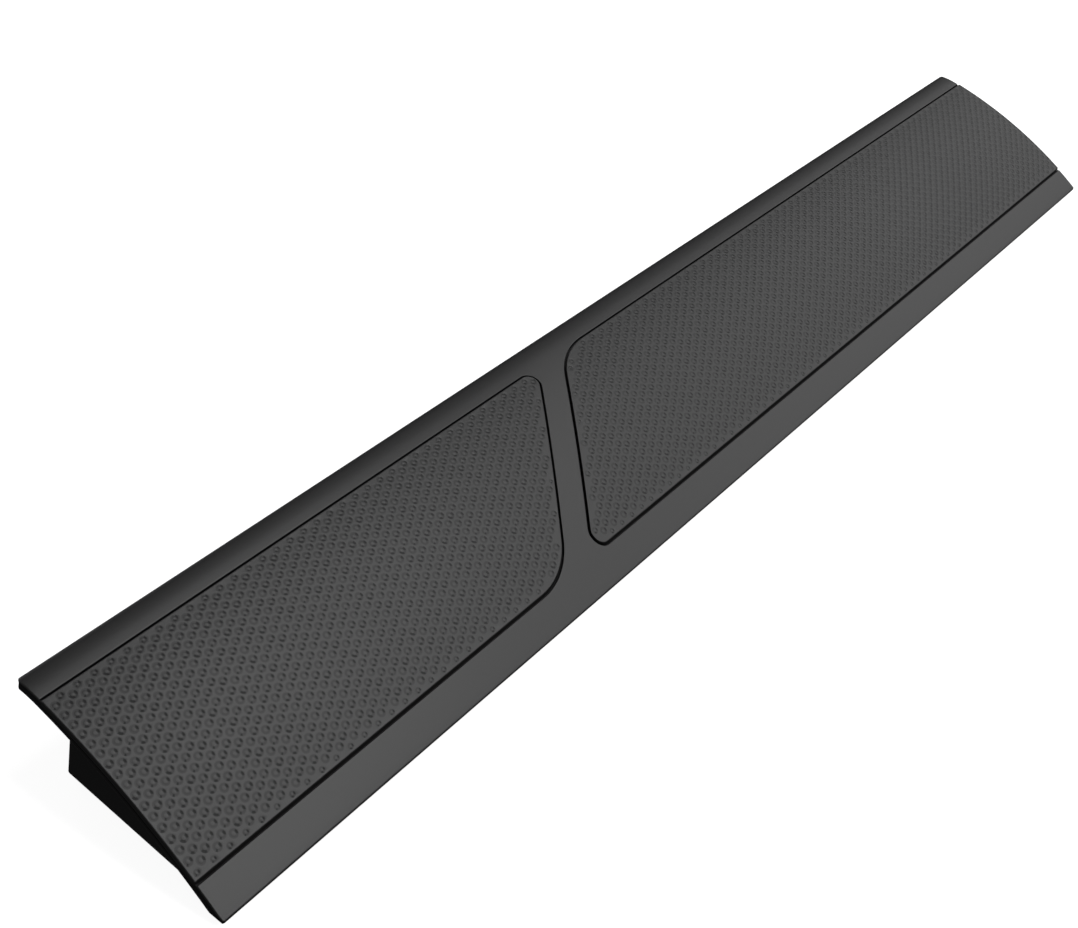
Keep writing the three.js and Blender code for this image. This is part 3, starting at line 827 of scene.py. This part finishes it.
# darker colours for the texture's rings and crescents and for the pads' ends, a painted shade
ring_painted_shade = moulded_plastic(
    "ring_painted_shade", near_black(0.02), near_black(0.024), roughness=0.44, specular=0.8,
    grain_size=0.22, grain_depth=0.004)
crescent_painted_shade = moulded_plastic(
    "crescent_painted_shade", near_black(0.015), near_black(0.019), roughness=0.5, specular=0.48,
    grain_size=0.22, grain_depth=0.006)
base_plastic = moulded_plastic(
    "base_plastic", near_black(0.009), near_black(0.0135), roughness=0.5, specular=0.4,
    grain_size=0.3, grain_depth=0.02)
clip_plastic = moulded_plastic(
    "clip_plastic", near_black(0.015, 0.001), near_black(0.021, 0.001), roughness=0.4, specular=0.6,
    grain_size=0.25, grain_depth=0.004)
foot_rubber = moulded_plastic(
    "foot_rubber", near_black(0.022, 0.001), near_black(0.034, 0.001), roughness=0.82, specular=0.3,
    grain_size=0.15, grain_depth=0.03)
screw_steel = zinc_steel("screw_steel")


# ---------- Assembly ----------

def dress(piece, node, material, body=BODY, others=()):
    """Gives a piece its materials and body, and hides the CAD node that it stands for."""
    if piece.data.materials:
        piece.data.materials.clear()
    for finish in (material, *others):
        piece.data.materials.append(finish)
    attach(piece, body)
    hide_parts(node)


def softened(node, width, material, body=BODY):
    """A copy of a CAD node with merged flats and rounded edges, which stands for it."""
    data = nodes[node].data.copy()
    data.name = f"{node}_moulded"
    work = bmesh.new()
    work.from_mesh(data)
    bmesh.ops.remove_doubles(work, verts=work.verts, dist=0.002 * MM)
    bmesh.ops.dissolve_limit(work, angle_limit=math.radians(1), verts=work.verts, edges=work.edges)
    finish_mesh(work, data, 30)
    piece = add_object(data.name, data)
    bevel = piece.modifiers.new("edge_rounding", "BEVEL")
    bevel.width = width * MM
    bevel.segments = 3
    bevel.limit_method = "ANGLE"
    bevel.angle_limit = math.radians(35)
    dress(piece, node, material, body)


dress(build_shell(), "top_shell", shell_plastic, others=[painted_shade_plastic])
for pad_side, pad_node in ((-1, "left_grip_pad"), (1, "right_grip_pad")):
    dress(build_pad(pad_side, f"{pad_node}_textured"), pad_node, pad_plastic,
          others=[ring_painted_shade, crescent_painted_shade])
softened("base_tray", 0.25, base_plastic)
for clip_side in ("left", "right"):
    softened(f"{clip_side}_clip_carrier", 0.3, clip_plastic)
    for arm in ("outer", "inner"):
        softened(f"{clip_side}_clip_{arm}_prong", 0.3, clip_plastic, f"{clip_side}_{arm}_prong")


# ---------- Rubber feet ----------

# A foot's outline moves in by inset at height z: side, rounded tread edge and shallow dish; None is the top
FOOT_LEVELS = ((0.0, None), (0.0, 0.35), (0.03, 0.2), (0.11, 0.09), (0.22, 0.02), (0.36, 0.0),
               (0.9, 0.0), (1.05, 0.04), (1.2, 0.12))
STADIUM_STEPS = 12


def stadium(cx, cy, half_length, half_width):
    """An oblong outline with round ends."""
    points = []
    for end in (1, -1):
        for k in range(STADIUM_STEPS + 1):
            angle = math.pi / 2 * -end + math.pi * k / STADIUM_STEPS
            points.append((cx + end * (half_length - half_width) + half_width * math.cos(angle),
                           cy + half_width * math.sin(angle)))
    return points


def rubber_foot(node):
    """A moulded foot: an oblong with a rounded tread edge and a shallow dished tread."""
    low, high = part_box(node)
    cx, cy = (low.x + high.x) / 2 / MM, (low.y + high.y) / 2 / MM
    half_length, half_width = (high.x - low.x) / 2 / MM, (high.y - low.y) / 2 / MM
    mesh = Mesh()
    levels = []
    for inset, z in FOOT_LEVELS:
        outline = stadium(cx, cy, half_length - inset, half_width - inset)
        levels.append((outline, high.z / MM if z is None else z))
    rings = [mesh.add([(x, y, z) for x, y in outline]) for outline, z in levels]
    for first, second in zip(rings, rings[1:]):
        mesh.strip(first, second, closed=True)
    for outline, z in (levels[-1], levels[0]):
        mesh.fill([outline], lambda x, y: (x, y, z))
    dress(mesh.build(f"{node}_moulded", sharp=50), node, foot_rubber)


for foot_number in range(1, 7):
    rubber_foot(f"rubber_foot_{foot_number}")


# ---------- Screws ----------

HEAD_HEIGHT, SHANK_RADIUS, ROOT_RADIUS = 1.5, 1.2, 0.92
HEAD_PROFILE = ((1.75, -HEAD_HEIGHT), (2.15, -1.44), (2.5, -1.24), (2.72, -0.92), (2.8, -0.55), (2.8, -0.12),
                (2.68, 0.0), (1.3, 0.0), (SHANK_RADIUS, 0.1), (SHANK_RADIUS, 0.5))
THREAD_START, THREAD_PITCH = 0.5, 0.55
THREAD_TURN = ((ROOT_RADIUS, 0.12), (ROOT_RADIUS, 0.3), (SHANK_RADIUS, 0.42), (SHANK_RADIUS, 0.48))
THREAD_END, POINT = 1.4, ((0.9, 0.8), (0.3, 0.1))     # back from the tip
CROSS_TOP, CROSS_FLOOR, CROSS_DEPTH = (1.4, 0.36), (0.9, 0.2), 1.0
ROUND = 32


def circle(radius):
    return [(radius * math.cos(2 * math.pi * k / ROUND), radius * math.sin(2 * math.pi * k / ROUND))
            for k in range(ROUND)]


def cross_outline(reach, half_width):
    """The outline of a cross recess, anticlockwise."""
    arm = ((reach, -half_width), (reach, half_width), (half_width, half_width))
    points = []
    for k in range(4):
        quarter = Matrix.Rotation(math.pi / 2 * k, 2)
        points += [tuple(quarter @ Vector(p)) for p in arm]
    return points


def screw_mesh(name, length):
    """A pan-head thread-forming screw: head below z = 0, point at z = length."""
    mesh = Mesh()
    profile = list(HEAD_PROFILE)
    z = THREAD_START
    while z < length - THREAD_END:
        profile += [(radius, z + along) for radius, along in THREAD_TURN]
        z += THREAD_PITCH
    profile += [(radius, length - back) for radius, back in POINT]
    rings = [mesh.add([(x, y, height) for x, y in circle(radius)]) for radius, height in profile]
    for first, second in zip(rings, rings[1:]):
        mesh.strip(first, second, closed=True)
    mesh.fan(mesh.add([(0, 0, length)])[0], rings[-1])

    cross, cross_floor = cross_outline(*CROSS_TOP), cross_outline(*CROSS_FLOOR)
    floor_z = CROSS_DEPTH - HEAD_HEIGHT
    mesh.fill([circle(HEAD_PROFILE[0][0]), cross], lambda x, y: (x, y, -HEAD_HEIGHT))
    upper = mesh.add([(x, y, -HEAD_HEIGHT) for x, y in cross])
    lower = mesh.add([(x, y, floor_z) for x, y in cross_floor])
    mesh.strip(upper, lower, closed=True)
    mesh.fill([cross_floor], lambda x, y: (x, y, floor_z))
    return mesh.build(name, sharp=35)


for screw_node in [n for n in nodes if "screw" in n]:
    low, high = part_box(screw_node)
    head_down = screw_node.startswith("base")
    screw = screw_mesh(f"{screw_node}_threaded", (high.z - low.z) / MM - HEAD_HEIGHT)
    seat = low.z + HEAD_HEIGHT * MM if head_down else high.z - HEAD_HEIGHT * MM
    place = Matrix.Translation(((low.x + high.x) / 2, (low.y + high.y) / 2, seat))
    if not head_down:
        place = place @ Matrix.Rotation(math.pi, 4, "X")
    screw.data.transform(place @ Matrix.Rotation(random.uniform(0, math.pi), 4, "Z"))
    dress(screw, screw_node, screw_steel)


# ---------- Studio ----------

FLOOR_HALF = 6.0
FLOOR_GLOW = 0.92
AMBIENT = 0.05                 # dim light from all round; the camera sees the backdrop white
CEILING = 1.0

floor_data = bpy.data.meshes.new("studio_floor")
floor_corners = [(x * FLOOR_HALF, y * FLOOR_HALF, 0) for x, y in ((-1, -1), (1, -1), (1, 1), (-1, 1))]
floor_data.from_pydata(floor_corners, [], [(0, 1, 2, 3)])
floor = add_object("studio_floor", floor_data)
floor_material, _, floor_shader = new_material("studio_floor")
floor_shader.inputs["Base Color"].default_value = (0.92, 0.92, 0.92, 1)
floor_shader.inputs["Roughness"].default_value = 0.9
floor_shader.inputs["Specular IOR Level"].default_value = 0.0
floor_shader.inputs["Emission Color"].default_value = (1, 1, 1, 1)
floor_shader.inputs["Emission Strength"].default_value = FLOOR_GLOW
floor_data.materials.append(floor_material)
floor.visible_diffuse = False
floor.visible_glossy = False

world = bpy.data.worlds.new("studio")
bpy.context.scene.world = world
world.use_nodes = True
world_tree = world.node_tree
backdrop = world_tree.nodes["Background"]
backdrop.inputs["Color"].default_value = (1, 1, 1, 1)
rays = world_tree.nodes.new("ShaderNodeLightPath")
strength = world_tree.nodes.new("ShaderNodeMath")
strength.operation = "MAXIMUM"
strength.inputs[0].default_value = AMBIENT
world_tree.links.new(rays.outputs["Is Camera Ray"], strength.inputs[1])
world_tree.links.new(strength.outputs["Value"], backdrop.inputs["Strength"])


def softbox(name, place, size_x, size_y, radiance, tilt=0.0):
    """A rectangular soft light that looks straight down, turned by tilt about X."""
    data = bpy.data.lights.new(name, "AREA")
    data.shape = "RECTANGLE"
    data.size, data.size_y = size_x, size_y
    data.energy = radiance * math.pi * size_x * size_y
    lamp = add_object(name, data)
    lamp.location = place
    lamp.rotation_euler = (tilt, 0, 0)


softbox("far_softbox", (2.005, -0.825, CEILING), 2.27, 2.49, 0.92)
softbox("near_softbox", (0.355, -0.58, CEILING), 0.53, 1.92, 1.84)
softbox("back_softbox", (-0.6, 2.4, 0.7), 4.0, 1.0, 0.5, math.radians(-90))

# Where the camera stands, and its right and back directions
CAMERA_PLACE = (-0.36019, -0.15517, 0.28641)
CAMERA_RIGHT = (0.6388, -0.7573, 0.1357)
CAMERA_BACK = (-0.6566, -0.4448, 0.6091)

camera_data = bpy.data.cameras.new("camera")
camera_data.sensor_fit = "HORIZONTAL"
camera_data.sensor_width = 36
camera_data.lens = 54.4
camera_data.shift_x = 0.1011
camera_data.shift_y = -0.0872
camera_data.clip_start = 0.01
camera = add_object("camera", camera_data)
back_axis = Vector(CAMERA_BACK).normalized()
up_axis = back_axis.cross(Vector(CAMERA_RIGHT)).normalized()
right_axis = up_axis.cross(back_axis)
camera_turn = Matrix((right_axis, up_axis, back_axis)).transposed().to_4x4()
camera.matrix_world = Matrix.Translation(CAMERA_PLACE) @ camera_turn
bpy.context.scene.camera = camera
bpy.context.scene.view_settings.view_transform = "Standard"
